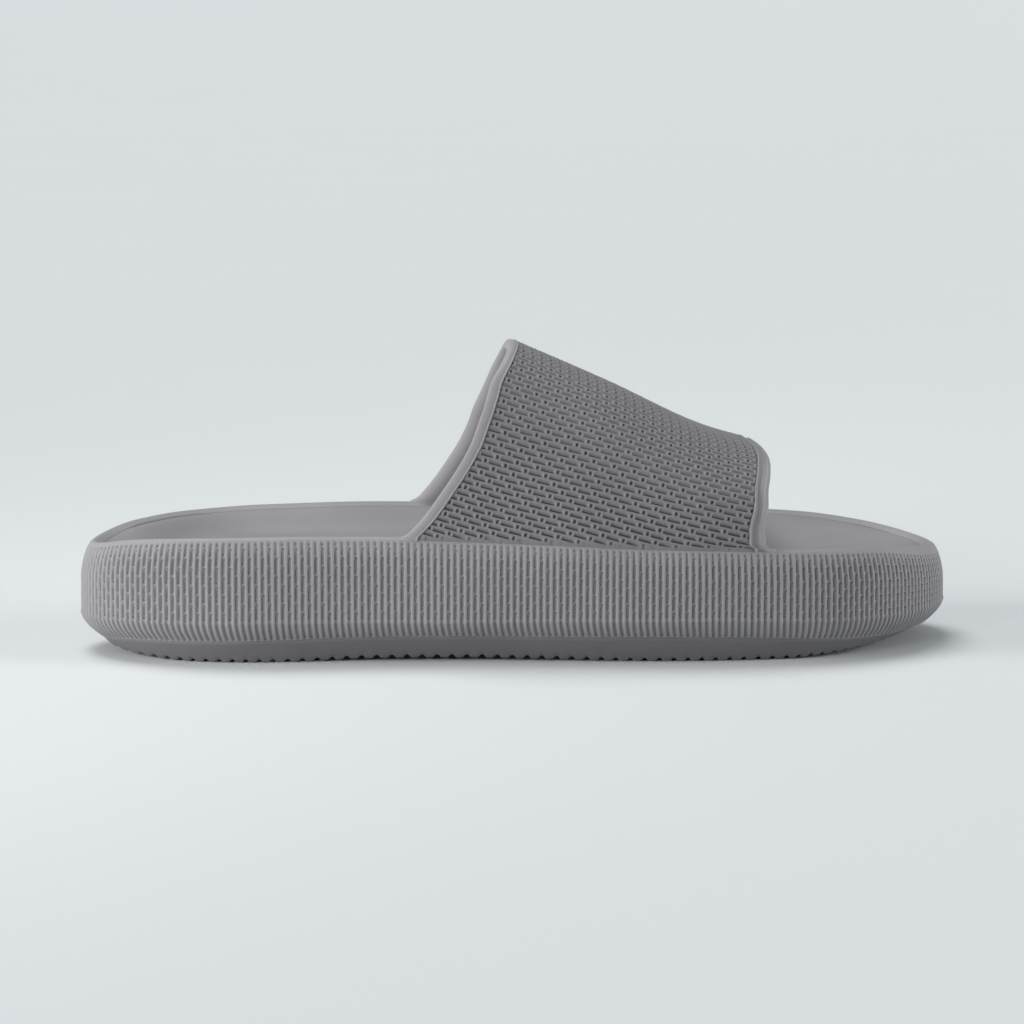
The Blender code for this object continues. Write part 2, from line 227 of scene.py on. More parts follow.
class SandalRelief(bpy.types.PropertyGroup):
    """Relief of the sandal's moulded surfaces."""

    rib_pitch: FloatProperty(
        name="Rib pitch", description="Distance between the ribs", default=0.0021, unit="LENGTH"
    )
    rib_depth: FloatProperty(
        name="Rib depth", description="Depth of the grooves between the ribs", default=0.0010, unit="LENGTH"
    )
    course_pitch: FloatProperty(
        name="Course pitch", description="Distance between the courses", default=0.00207, unit="LENGTH"
    )
    brick_pitch: FloatProperty(
        name="Brick pitch", description="Length of one brick", default=0.0065, unit="LENGTH"
    )
    weave_depth: FloatProperty(
        name="Weave depth", description="Depth of the weave's slots", default=0.00075, unit="LENGTH"
    )


class SandalFinish(bpy.types.PropertyGroup):
    """Colours and gloss of the foam, with painted shade in the footbed's colour."""

    foam: FloatVectorProperty(
        name="Foam", description="Colour of the moulded foam", subtype="COLOR", default=(0.276, 0.268, 0.280)
    )
    # The footbed's colour is the foam's made darker: painted shade over the footbed
    footbed: FloatVectorProperty(
        name="Footbed", description="Colour of the footbed", subtype="COLOR", default=(0.240, 0.233, 0.244)
    )
    roughness: FloatProperty(
        name="Roughness", description="How dull the foam is", subtype="FACTOR", default=0.56, min=0.0, max=1.0
    )


class SandalStudio(bpy.types.PropertyGroup):
    """The camera's view."""

    yaw: FloatProperty(
        name="Yaw", description="Turn of the view towards the toe", default=math.radians(6.0), subtype="ANGLE"
    )
    elevation: FloatProperty(
        name="Elevation", description="Height of the view", default=math.radians(7.9), subtype="ANGLE"
    )
    distance: FloatProperty(
        name="Distance", description="Distance from the camera to its aim", default=1.1, unit="LENGTH"
    )


def smooth_value(rows, key, column, at):
    """The column's values at places between the rows, on a curve that doesn't overshoot the rows."""
    keys = np.array([getattr(row, key) for row in rows], float)
    values = np.array([getattr(row, column) for row in rows], float)
    at = np.clip(np.asarray(at, float), keys[0], keys[-1])
    slopes = np.diff(values) / np.diff(keys)
    tangents = np.zeros(len(keys))
    before, after = slopes[:-1], slopes[1:]
    same_way = before * after > 0
    total = np.where(same_way, before + after, 1.0)
    tangents[1:-1] = np.where(same_way, 2 * before * after / total, 0.0)
    tangents[0], tangents[-1] = slopes[0], slopes[-1]
    i = np.clip(np.searchsorted(keys, at, side="right") - 1, 0, len(keys) - 2)
    span = keys[i + 1] - keys[i]
    t = (at - keys[i]) / span
    return (
        (2 * t**3 - 3 * t**2 + 1) * values[i]
        + (t**3 - 2 * t**2 + t) * span * tangents[i]
        + (3 * t**2 - 2 * t**3) * values[i + 1]
        + (t**3 - t**2) * span * tangents[i + 1]
    )


def sole_value(column, along):
    """A column of the sole's table at shares of the length."""
    return smooth_value(SOLE_SECTIONS, "along", column, along)


def side_reach(along, medial):
    """Y of the sole's widest line on one side."""
    to_heel = np.minimum(along * LENGTH / HEEL_ROUND, 1.0)
    to_toe = np.minimum((1 - along) * LENGTH / TOE_ROUND, 1.0)
    opened = np.sqrt(1 - (1 - to_heel) ** 2) * np.sqrt(1 - (1 - to_toe) ** 2)
    share = np.where(medial, sole_value("medial", along), sole_value("lateral", along))
    half = BALL_WIDTH / 2 * share * opened
    return np.where(medial, half, -half) + TOE_SWING * (1 - to_toe) ** 2


class WidestLine:
    """The sole's widest line, from the heel along the lateral side to the toe and back."""

    def __init__(self):
        half = OUTLINE_SAMPLES // 2
        share = (1 - np.cos(np.pi * np.arange(half) / half)) / 2
        self.along = np.concatenate((share, 1 - share))
        self.medial = np.arange(OUTLINE_SAMPLES) >= half
        self.x = LENGTH * (self.along - 0.5)
        self.y = side_reach(self.along, self.medial)
        steps = np.hypot(np.roll(self.x, -1) - self.x, np.roll(self.y, -1) - self.y)
        self.reached = np.concatenate(([0.0], np.cumsum(steps)))
        self.perimeter = self.reached[-1]

    def at_index(self, index):
        """Places at whole or broken sample numbers."""
        count = OUTLINE_SAMPLES
        low = np.floor(index).astype(int) % count
        part = index - np.floor(index)

        def mixed(values, here, after):
            return values[here % count] + (values[after % count] - values[here % count]) * part

        x, y = mixed(self.x, low, low + 1), mixed(self.y, low, low + 1)
        ahead_x = mixed(self.x, low + 1, low + 2) - mixed(self.x, low - 1, low)
        ahead_y = mixed(self.y, low + 1, low + 2) - mixed(self.y, low - 1, low)
        size = np.hypot(ahead_x, ahead_y)
        along = mixed(self.along, low, low + 1)
        return Places(x, y, ahead_y / size, -ahead_x / size, along, self.medial[low])

    def at_turns(self, turns):
        """Places at shares of the way round."""
        numbers = np.arange(OUTLINE_SAMPLES + 1)
        return self.at_index(np.interp(np.asarray(turns) * self.perimeter, self.reached, numbers))

    def in_pairs(self, alongs):
        """Places on the lateral side at shares of the length, and back on the medial side."""
        index = OUTLINE_SAMPLES / 2 * np.arccos(1 - 2 * np.asarray(alongs)) / np.pi
        return self.at_index(np.concatenate((index, OUTLINE_SAMPLES - index[-2:0:-1])))


WIDEST = WidestLine()


def rim_height(places):
    """Height of the rim's crest, raised along the arch on the medial side."""
    arch = np.where(places.medial, ARCH_RISE * sole_value("arch", places.along), 0.0)
    return HEEL_HEIGHT * sole_value("rim", places.along) + arch


def level(column, places):
    """A height of the sole's table."""
    return HEEL_HEIGHT * sole_value(column, places.along)


def ring(places, inset, height):
    """Points a given distance inside the widest line, at a given height."""
    x = places.x - places.out_x * inset
    y = places.y - places.out_y * inset
    return np.stack((x, y, np.broadcast_to(height, x.shape)), axis=1)


def soft_step(low, high, value):
    """0 below low, 1 above high and a smooth rise between."""
    t = np.clip((value - low) / (high - low), 0.0, 1.0)
    return t * t * (3 - 2 * t)


def heel_tuck(places):
    """How far the side is drawn in at its foot round the heel."""
    return HEEL_TUCK * np.maximum(0.0, 1 - places.along * LENGTH / HEEL_TUCK_REACH) ** 2


def edge_crease(places):
    """Where a dark crease shows between rim and footbed: near both ends of the inner side."""
    heel, toe = (
        soft_step(*rise, places.along) * (1 - soft_step(*fall, places.along)) for rise, fall in CREASES
    )
    return np.where(places.medial, np.maximum(heel, toe), 0.0)


def add_object(name, data):
    """Adds an object to the scene."""
    made = bpy.data.objects.new(name, data)
    bpy.context.scene.collection.objects.link(made)
    return made


def add_smooth(name, points, faces, material):
    """Adds a smooth-shaded mesh to the scene."""
    mesh = bpy.data.meshes.new(name)
    mesh.from_pydata(points.tolist(), [], faces)
    mesh.shade_smooth()
    mesh.materials.append(material)
    return add_object(name, mesh)


def make_piece(name, points, faces, attributes, material, node):
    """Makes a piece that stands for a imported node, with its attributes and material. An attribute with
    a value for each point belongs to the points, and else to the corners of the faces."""
    piece = add_smooth(name, points, faces, material)
    for key, values in attributes.items():
        domain = "POINT" if len(values) == len(points) else "CORNER"
        layer = piece.data.attributes.new(key, "FLOAT", domain)
        layer.data.foreach_set("value", np.asarray(values, np.float32))
    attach(piece, "root")
    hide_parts(node)
    return piece


def ring_faces(rows, columns, first=0):
    """Quads between closed rings of points that follow each other."""
    faces = []
    for r in range(rows - 1):
        start, above = first + r * columns, first + (r + 1) * columns
        for c in range(columns):
            after = (c + 1) % columns
            faces.append((start + c, start + after, above + after, above + c))
    return faces


def narrowing_faces(columns, start, above, share):
    """Faces between a ring and the next one, which keeps only one point in share."""
    faces = []
    for c in range(columns // share):
        below = [start + (c * share + k) % columns for k in range(share + 1)]
        after = (c + 1) % (columns // share)
        faces.append((*below, above + after, above + c))
    return faces


def corner_values(faces, values, whole):
    """A value for each corner of the faces, where the values run on over the ring's closing faces."""
    corners = values[np.concatenate([np.asarray(face) for face in faces])]
    sizes = np.array([len(face) for face in faces])
    starts = np.concatenate(([0], np.cumsum(sizes)[:-1]))
    highest = np.repeat(np.maximum.reduceat(corners, starts), sizes)
    return np.where(highest - corners > whole / 2, corners + whole, corners)


def pair_lines(ring_points, count):
    """Points on straight lines between the two sides of a ring, side by side from heel to toe."""
    total = len(ring_points)
    toe = total // 2
    near = ring_points[1:toe]
    far = ring_points[:toe:-1]
    shares = np.arange(1, count) / count
    return near[None] + (far - near)[None] * shares[:, None, None]


def cross_faces(first, columns, start, lines):
    """Faces that close a ring whose points begin at first, over lines of inner points that begin at start."""
    toe = columns // 2
    inner = toe - 1
    faces = []

    def point(line, k):
        if k == 0:
            return first
        if k == toe:
            return first + toe
        if line == 0:
            return first + k
        if line == lines:
            return first + columns - k
        return start + (line - 1) * inner + k - 1

    for line in range(lines):
        for k in range(toe):
            corners = (point(line, k), point(line, k + 1), point(line + 1, k + 1), point(line + 1, k))
            faces.append(tuple(dict.fromkeys(corners)))
    return faces


def closed_body(rings, under_lines, top_lines):
    """Points and faces of rings that follow each other, closed across the first and across the last."""
    columns = len(rings[0])
    start = len(rings) * columns
    under = pair_lines(rings[0], under_lines).reshape(-1, 3)
    top = pair_lines(rings[-1], top_lines).reshape(-1, 3)
    faces = ring_faces(len(rings), columns)
    faces += [face[::-1] for face in cross_faces(0, columns, start, under_lines)]
    faces += cross_faces(start - columns, columns, start + len(under), top_lines)
    return np.concatenate((*rings, under, top)), faces


class Socket:
    """A shader value that Python expressions can use."""

    def __init__(self, tree, link):
        self.tree = tree
        self.link = link

    def math(self, operation, *others):
        sockets = dict(enumerate((self, *others)))
        return self.tree.node("ShaderNodeMath", {"operation": operation}, sockets)

    def __rsub__(self, other):
        return self.tree.node("ShaderNodeMath", {"operation": "SUBTRACT"}, {0: other, 1: self})

    __add__ = partialmethod(math, "ADD")
    __sub__ = partialmethod(math, "SUBTRACT")
    __mul__ = partialmethod(math, "MULTIPLY")
    __truediv__ = partialmethod(math, "DIVIDE")
    floor = partialmethod(math, "FLOOR")
    fract = partialmethod(math, "FRACT")
    size = partialmethod(math, "ABSOLUTE")
    most = partialmethod(math, "MAXIMUM")
    least = partialmethod(math, "MINIMUM")

    def rise(self, low, high):
        """0 below low, 1 above high and a smooth rise between."""
        settings = {"interpolation_type": "SMOOTHSTEP"}
        return self.tree.node("ShaderNodeMapRange", settings, {0: self, 1: low, 2: high, 3: 0.0, 4: 1.0})


class Finish:
    """A material's node tree, written as expressions."""

    def __init__(self, name):
        self.material = bpy.data.materials.new(name)
        self.material.use_nodes = True
        self.nodes = self.material.node_tree.nodes
        self.links = self.material.node_tree.links
        self.shader = self.nodes["Principled BSDF"]

    def node(self, kind, settings, sockets, output=0):
        """Adds a node: its settings first, then values or links on its sockets."""
        made = self.nodes.new(kind)
        for key, value in settings.items():
            setattr(made, key, value)
        self.put(made, sockets)
        return Socket(self, made.outputs[output])

    def put(self, node, sockets):
        """Gives sockets of a node their values or links."""
        for key, value in sockets.items():
            if isinstance(value, Socket):
                self.links.new(value.link, node.inputs[key])
            else:
                node.inputs[key].default_value = value

    def attribute(self, name):
        return self.node("ShaderNodeAttribute", {"attribute_name": name}, {}, "Fac")

    def noise(self, scale, detail=2.0, roughness=0.5):
        place = self.node("ShaderNodeTexCoord", {}, {}, "Object")
        sockets = {"Vector": place, "Scale": scale, "Detail": detail, "Roughness": roughness}
        return self.node("ShaderNodeTexNoise", {}, sockets, "Fac")

    def cells(self, scale):
        place = self.node("ShaderNodeTexCoord", {}, {}, "Object")
        return self.node("ShaderNodeTexVoronoi", {}, {"Vector": place, "Scale": scale}, "Distance")

    def mix(self, share, first, second):
        settings = {"data_type": "RGBA"}
        return self.node("ShaderNodeMix", settings, {0: share, 6: first, 7: second}, 2)

    def bump(self, height):
        return self.node("ShaderNodeBump", {}, {"Strength": 1.0, "Distance": 1.0, "Height": height}, "Normal")


def shade(colour, amount):
    """A darker or lighter copy of a colour, with alpha."""
    return tuple(min(c * amount, 1.0) for c in colour) + (1.0,)


class Foam:
    """Tones of the foam against its own colour, among them those of painted highlights and painted shade, the
    depths of its skin and its gloss.
    """

    CLOUD_TONES = (0.95, 1.04)
    SPECK_TONE = 1.12
    SPECK_SHARE = 0.35
    # Tones of the painted highlight and of the painted shade
    PAINTED_HIGHLIGHT_TONE = 1.5
    PAINTED_SHADE_TONE = 0.22
    SPECK_DEPTH = 0.000016
    SKIN_DEPTH = 0.000022
    CLOUD_ROUGH = 0.08
    SPECK_ROUGH = 0.10


def foam_finish(name, colour, relief, dark, shine=0.0, light=None):
    """Moulded foam: a fine skin of pores, cloudy tone, a soft gloss, and the painted highlights and painted
    shade that the light and dark masks give to its relief."""
    finish = Finish(name)
    looks = bpy.context.scene.sandal_finish
    cloud = finish.noise(scale=38.0, detail=3.0)
    speck = finish.noise(scale=1900.0, roughness=0.6)
    skin = finish.noise(scale=520.0, detail=3.0, roughness=0.6)
    low, high = (shade(colour, tone) for tone in Foam.CLOUD_TONES)
    tone = finish.mix(cloud.rise(0.3, 0.7), low, high)
    tone = finish.mix(speck.rise(0.35, 0.75) * Foam.SPECK_SHARE, tone, shade(colour, Foam.SPECK_TONE))
    height = speck * Foam.SPECK_DEPTH + skin * Foam.SKIN_DEPTH
    # Painted highlight where the light mask falls
    if light is not None:
        tone = finish.mix(light(finish), tone, shade(colour, Foam.PAINTED_HIGHLIGHT_TONE))
    # Painted shade where the dark mask falls
    if dark is not None:
        tone = finish.mix(dark(finish), tone, shade(colour, Foam.PAINTED_SHADE_TONE))
    if relief is not None:
        height = height + relief(finish)
    least = looks.roughness - (Foam.CLOUD_ROUGH + Foam.SPECK_ROUGH) / 2 - shine
    rough = cloud * Foam.CLOUD_ROUGH + speck * Foam.SPECK_ROUGH + least
    finish.put(finish.shader, {"Base Color": tone, "Roughness": rough, "Normal": finish.bump(height)})
    finish.put(finish.shader, {"Specular IOR Level": 0.42, "Sheen Weight": 0.04})
    return finish.material


class Twist:
    """The twists of the cord in the grooves, each with a pair of small pits that the shader draws with a bump
    and painted shade.
    """

    # First twist and distance between two, as shares of the wall's height, and how they fill the groove
    START = 0.025
    PITCH = 0.2352
    FILL = 0.55
    FADE = (0.026, 0.052)
    # How far a groove begins before its rib, as a share of the ribs' pitch
    LEAD = 0.2
    # Pits: place across the groove, slant and half width, then rise from the twist's middle and half height
    PIT_PLACE = 0.34
    PIT_SLANT = 0.9
    PIT_HALF_WIDTH = 0.15
    PIT_RISE = 0.115
    PIT_HALF_HEIGHT = 0.060
    PIT_FADE = (0.25, 1.3)
    PIT_DEPTH = 0.00028
    # Painted shade in the pits and in the grooves
    PIT_PAINTED_SHADE = 0.55
    GROOVE_PAINTED_SHADE = 0.31


def twist_share(around, share):
    """How far the cord fills its groove at places round the sole and up the wall."""
    number = np.floor(around + Twist.LEAD)
    periods = (share - Twist.START) / Twist.PITCH - number * 0.5
    away = np.abs((periods + 0.5) % 1.0 - 0.5) * Twist.PITCH
    return 1 - soft_step(*Twist.FADE, away)


def rib_marks(finish):
    """Pairs of small pits at each twist of the cords, staggered from groove to groove."""
    around = finish.attribute("rib_number") + Twist.LEAD
    periods = (finish.attribute("wall_share") - Twist.START) / Twist.PITCH - around.floor() * 0.5
    up = (periods + 0.5).fract() - 0.5
    beside = (around.fract() - Twist.PIT_PLACE + up * Twist.PIT_SLANT) / Twist.PIT_HALF_WIDTH
    pair = (up.size() - Twist.PIT_RISE) / Twist.PIT_HALF_HEIGHT
    near = (beside * beside + pair * pair).rise(*Twist.PIT_FADE)
    return (1.0 - near) * finish.attribute("twist_share")


def wall_relief(finish):
    return rib_marks(finish) * -Twist.PIT_DEPTH


def wall_painted_shade(finish):
    """Painted shade in the grooves, darker in their pits."""
    return (finish.attribute("groove") * Twist.GROOVE_PAINTED_SHADE).most(rib_marks(finish) * Twist.PIT_PAINTED_SHADE)


class Weave:
    """The brick weave of the strap's panel, worked out for mesh points and for the shader alike.

    A course lies along the strap. Each brick of it has a long slot, whose floor deepens to its lower
    edge, and beside the slot a small hole between two knuckles.
    """

    # Rows of points in each course, closer together at the slot's edges
    ROWS = (0.0, 0.12, 0.21, 0.48, 0.74, 0.85)
    SLOT_MIDDLE = 0.5
    SLOT_HALF = 0.315
    SLOT_TOP = (0.12, 0.21)
    SLOT_BOTTOM = (0.74, 0.85)
    SLOT_END = 0.05
    # Depth of the slot's floor at its upper edge, as a share of the depth at the lower one
    FLOOR_START = 0.15
    # Pit round the hole: half its length and width, its fade and its depth
    PIT_HALVES = (0.085, 0.32)
    PIT_FADE = (0.4, 1.3)
    PIT_DEPTH = 0.55
    # Knuckles: distance from the brick's end, half length and half width, their fade and their height
    KNUCKLE = 0.130
    KNUCKLE_HALVES = (0.07, 0.42)
    KNUCKLE_FADE = (0.2, 1.2)
    KNUCKLE_RISE = 0.35
    # The shader's masks: where each begins and is full
    SIDES_MASK = (0.285, 0.335)
    FLOOR_MASK = (0.12, 0.80)
    LOWER_EDGE = (0.76, 0.84)
    CREASE_MIDDLE = 0.73
    CREASE_MASK = (0.04, 0.15)
    END_CREASE = 0.30
    END_MASK = (0.008, 0.035)
    END_DOWN = (0.30, 0.50)
    HOLE_MIDDLE = 0.48
    HOLE_HALVES = (0.070, 0.31)
    HOLE_MASK = (0.4, 1.35)
    # Depth that the shader gives to the slot's floor, its crease and the hole, and the painted shade on each
    DEPTHS = (0.00010, 0.00018, 0.00040)
    PAINTED_SHADES = (0.40, 0.88, 0.95)
    # Strength of the painted highlight on the knuckles
    KNUCKLE_PAINTED_HIGHLIGHT = 0.60


def brick_place(run, course):
    """Where a place lies in its brick, along it and down it, as shares of both pitches."""
    number = np.floor(course + 1e-6)
    return (run + number * 0.5) % 1.0, course - number


def weave_height(run, course):
    """Height of the weave, from 0 at its network down to -1 in the slots, and up at the knuckles."""
    u, v = brick_place(run, course)
    lengthwise = np.abs(u - Weave.SLOT_MIDDLE)
    inside = 1 - soft_step(Weave.SLOT_HALF - Weave.SLOT_END, Weave.SLOT_HALF + Weave.SLOT_END, lengthwise)
    top = soft_step(*Weave.SLOT_TOP, v)
    bottom = 1 - soft_step(*Weave.SLOT_BOTTOM, v)
    down = np.clip((v - Weave.SLOT_TOP[1]) / (Weave.SLOT_BOTTOM[0] - Weave.SLOT_TOP[1]), 0, 1)
    slot = inside * top * bottom * (Weave.FLOOR_START + (1 - Weave.FLOOR_START) * down)
    length, width = Weave.PIT_HALVES
    away = np.hypot(np.minimum(u, 1 - u) / length, (v - Weave.HOLE_MIDDLE) / width)
    pit = 1 - soft_step(*Weave.PIT_FADE, away)
    return -slot - Weave.PIT_DEPTH * pit + Weave.KNUCKLE_RISE * knuckle_share(run, course)


def knuckle_share(run, course):
    """How near a place is to the top of a knuckle, from 0 to 1."""
    u, v = brick_place(run, course)
    length, width = Weave.KNUCKLE_HALVES
    aside = np.minimum(u, 1 - u) - Weave.KNUCKLE
    return 1 - soft_step(*Weave.KNUCKLE_FADE, np.hypot(aside / length, (v - Weave.HOLE_MIDDLE) / width))


def weave_marks(finish):
    """Masks of the weave at full sharpness: the slot's floor, its crease and the hole beside it, for their
    bump and their painted shade.
    """
    run, course = finish.attribute("weave_run"), finish.attribute("weave_course")
    v = course.fract()
    u = (run + course.floor() * 0.5).fract()
    middle = u - Weave.SLOT_MIDDLE
    above_edge = 1.0 - v.rise(*Weave.LOWER_EDGE)
    inside = 1.0 - middle.size().rise(*Weave.SIDES_MASK)
    floor = v.rise(*Weave.FLOOR_MASK) * above_edge
    low = 1.0 - (v - Weave.CREASE_MIDDLE).size().rise(*Weave.CREASE_MASK)
    end = 1.0 - (middle + Weave.END_CREASE).size().rise(*Weave.END_MASK)
    crease = low.most(end * v.rise(*Weave.END_DOWN) * above_edge)
    across = u.least(1.0 - u) / Weave.HOLE_HALVES[0]
    upwards = (v - Weave.HOLE_MIDDLE) / Weave.HOLE_HALVES[1]
    hole = 1.0 - (across * across + upwards * upwards).rise(*Weave.HOLE_MASK)
    on_panel = finish.attribute("weave_share")
    return inside * floor * on_panel, inside * crease * on_panel, hole * on_panel


def weave_relief(finish):
    floor, crease, hole = (mark * -depth for mark, depth in zip(weave_marks(finish), Weave.DEPTHS))
    return floor + crease + hole


# Painted shade on the slot's floor, in its crease and in the hole
def weave_painted_shade(finish):
    floor, crease, hole = (mark * dark for mark, dark in zip(weave_marks(finish), Weave.PAINTED_SHADES))
    return floor.most(crease).most(hole)


def weave_painted_highlight(finish):
    """Painted highlights on the tops of the knuckles on both sides of each hole."""
    return finish.attribute("knuckle") * Weave.KNUCKLE_PAINTED_HIGHLIGHT


def footbed_relief(finish):
    """Faint prints and pores of the footbed."""
    prints = finish.noise(scale=95.0, detail=4.0, roughness=0.6)
    return prints * PRINT_DEPTH + finish.cells(scale=1300.0) * -PORE_DEPTH


def strap_surface(angle, across):
    """Points of the strap's outer surface. Angle runs from the lateral foot (0) over the crown to the
    medial foot (pi), across from the rear edge (0) to the front edge (1)."""
    medial = angle > math.pi / 2
    breadth = np.abs(np.cos(angle)) ** (2 / ARCH_FULLNESS)
    height = np.abs(np.sin(angle)) ** (2 / ARCH_FULLNESS)
    rear = smooth_value(STRAP_EDGES, "height", "rear", height)
    front = smooth_value(STRAP_EDGES, "height", "front", height)
    skew = np.where(medial, STRAP_SKEW * breadth**2, 0.0)
    outer = smooth_value(REAR_TRIMS, "height", "outer", height)
    inner = smooth_value(REAR_TRIMS, "height", "inner", height)
    trim = np.where(medial, inner, outer) * (1 - across)
    x = LENGTH * (rear + (front - rear) * across - 0.5) + skew + trim
    foot_along = STRAP_EDGES[0].rear + (STRAP_EDGES[0].front - STRAP_EDGES[0].rear) * across
    foot_along = foot_along + np.where(medial, STRAP_SKEW / LENGTH, 0.0)
    side = side_reach(foot_along, medial) + np.where(medial, -STRAP_INSET, STRAP_INSET)
    y = CROWN_SHIFT + (side - CROWN_SHIFT) * breadth
    arch = np.where(medial, ARCH_RISE * sole_value("arch", foot_along), 0.0)
    foot = HEEL_HEIGHT * sole_value("rim", foot_along) + arch
    fall = smooth_value(STRAP_CROWN, "along", "fall", across)
    crown = INSTEP_HEIGHT + (STRAP_FRONT_HEIGHT - INSTEP_HEIGHT) * fall - CROWN_TRIM * (1 - across) ** 2
    return np.stack((x, y, foot + (crown - foot) * height), axis=-1)


def strap_normals(angle, across):
    """Directions straight out of the strap's outer surface."""
    step = 1e-3
    low, high = np.maximum(angle - step, 1e-6), np.minimum(angle + step, math.pi - 1e-6)
    round_arch = strap_surface(high, across) - strap_surface(low, across)
    ahead, behind = np.minimum(across + step, 1.0), np.maximum(across - step, 0.0)
    lengthways = strap_surface(angle, ahead) - strap_surface(angle, behind)
    out = np.cross(lengthways, round_arch)
    return out / np.linalg.norm(out, axis=-1, keepdims=True)


def edge_round():
    """The rounded end of the strap's section, from the wide bevel of its lining to its outer face."""
    points = []
    for a in np.linspace(math.pi / 2, 0, 8):
        rise = -BEVEL_START - (WALL - BEVEL_START) * math.sin(a)
        points.append((EDGE_BEVEL * (1 - math.cos(a)), rise))
    for a in np.linspace(0, math.pi / 2, 5):
        points.append((EDGE_ROUND * (1 - math.cos(a)), CORNER_RISE - EDGE_ROUND * (1 - math.sin(a))))
    return points


# The bands beside the weave, from the rounded corner inwards: distance from the edge and height over the
# panel. A thin ridge ends each band and dips under the weave.
REAR_BAND = (
    (0.0019, 0.00032),
    (0.0026, 0.00026),
    (0.0029, 0.00016),
    (0.0031, 0.00042),
    (0.0033, 0.00055),
    (0.0035, 0.00040),
    (0.0037, -0.00080),
)
FRONT_BAND = (
    (0.0015, 0.00025),
    (0.0019, -0.00008),
    (0.0025, -0.00060),
    (0.0032, -0.00085),
    (0.0038, -0.00070),
    (0.0042, -0.00010),
    (0.0044, 0.00045),
    (0.0046, 0.00055),
    (0.0048, 0.00035),
    (0.0050, -0.00080),
)


def strap_width():
    """Distance between the strap's two edges half way up its outer side."""
    half_way = 0.6
    edges = strap_surface(np.array([half_way, half_way]), np.array([0.0, 1.0]))
    return float(np.linalg.norm(edges[1] - edges[0]))


def arc_reach(across):
    """How far each of the arc's angles is from the lateral foot, along the strap at one place across."""
    path = strap_surface(ARC_ANGLES, np.full_like(ARC_ANGLES, across))
    return np.concatenate(([0.0], np.cumsum(np.linalg.norm(np.diff(path, axis=0), axis=1))))


def strand_points(angle, across, lift, to_foot, from_edge):
    """Points of one strand of the strap, lifted off its surface. Near the foot they flare outwards, spread
    along the rim by the share that from_edge gives, and end below the rim's crest."""
    places = np.full_like(angle, across)
    spots, outs = strap_surface(angle, places), strap_normals(angle, places)
    near = np.clip(1 - to_foot / FOOT_REACH, 0.0, 1.0) ** 2
    outs[[0, -1], 2] = 0.0
    flare = FOOT_FLARE * near
    flare[[0, -1]] = -FOOT_TUCK
    spots = spots + outs * np.reshape(lift + flare, (-1, 1))
    spots[:, 0] += FOOT_SPREAD * near * from_edge
    rolled = soft_step(CROWN_ROLL_START, 1.0, np.sin(angle)) * max(0.0, -from_edge)
    spots[:, 2] -= CROWN_ROLL_DROP * rolled
    spots[[0, -1], 2] -= FOOT_SINK
    return spots


class SANDAL_OT_outsole(bpy.types.Operator):
    """Builds the smooth band under the ribs with its notched tread"""

    bl_idname = "sandal.outsole"
    bl_label = "Outsole"

    # Side of the band from its bottom edge to its top: share of the flare, of the height and of the notch
    SIDE = (
        (1.0, 0.0, 1.0),
        (0.93, 0.02, 0.92),
        (0.84, 0.08, 0.40),
        (0.70, 0.22, 0.08),
        (0.54, 0.40, 0.0),
        (0.36, 0.60, 0.0),
        (0.17, 0.81, 0.0),
        (0.0, 1.0, 0.0),
    )
    LUG_COLUMNS = 9
    END_COLUMNS = 13
    CROSS_LINES = 14
    # Reach of a notch to either side, as a share of the lugs' pitch
    NOTCH_REACH = 0.30
    # Gap to the ribs' feet, and the insets and the rise of the top under the midsole
    RIB_GAP = 0.0001
    TOP_INSETS = (0.0010, 0.0050)
    TOP_RISE = 0.0006
    # Tone against the foam's colour, darker partly as the band's own tone and partly as painted shade under
    # the overhanging side, and gloss
    TONE_WITH_PAINTED_SHADE = 0.52
    SHINE = 0.05

    def execute(self, context):
        lugs = round(LENGTH / LUG_PITCH)
        body = np.linspace(1 / lugs, 1 - 1 / lugs, (lugs - 2) * self.LUG_COLUMNS + 1)
        end = np.linspace(0, 1, self.END_COLUMNS + 1)[:-1] ** 2 / lugs
        places = WIDEST.in_pairs(np.concatenate((end, body, 1 - end[::-1])))
        phase = np.abs((places.along * lugs + 0.5) % 1.0 - 0.5)
        at_body = (places.along > 0.5 / lugs) & (places.along < 1 - 0.5 / lugs)
        notch = np.where(at_body, NOTCH_DEPTH * (1 - soft_step(0.0, self.NOTCH_REACH, phase)), 0.0)
        tread = TREAD_SPRING * sole_value("lift", places.along)
        top = level("foot", places)
        upper_inset = RIB_FOOT_INSET + self.RIB_GAP + heel_tuck(places)
        rings = []
        for flare, share, cut in self.SIDE:
            inset = upper_inset + (TREAD_INSET - upper_inset) * flare
            rings.append(ring(places, inset, tread + (top - tread) * share + notch * cut))
        for inset in self.TOP_INSETS:
            rings.append(ring(places, upper_inset + inset, top + self.TOP_RISE))
        points, faces = closed_body(rings, self.CROSS_LINES, 2)
        looks = context.scene.sandal_finish
        # Darker than the foam: partly the band's own tone, partly painted shade
        colour = shade(looks.foam, self.TONE_WITH_PAINTED_SHADE)[:3]
        material = foam_finish("outsole_foam_finish", colour, None, None, self.SHINE)
        make_piece("tread_band", points, faces, {}, material, "outsole")
        return {"FINISHED"}


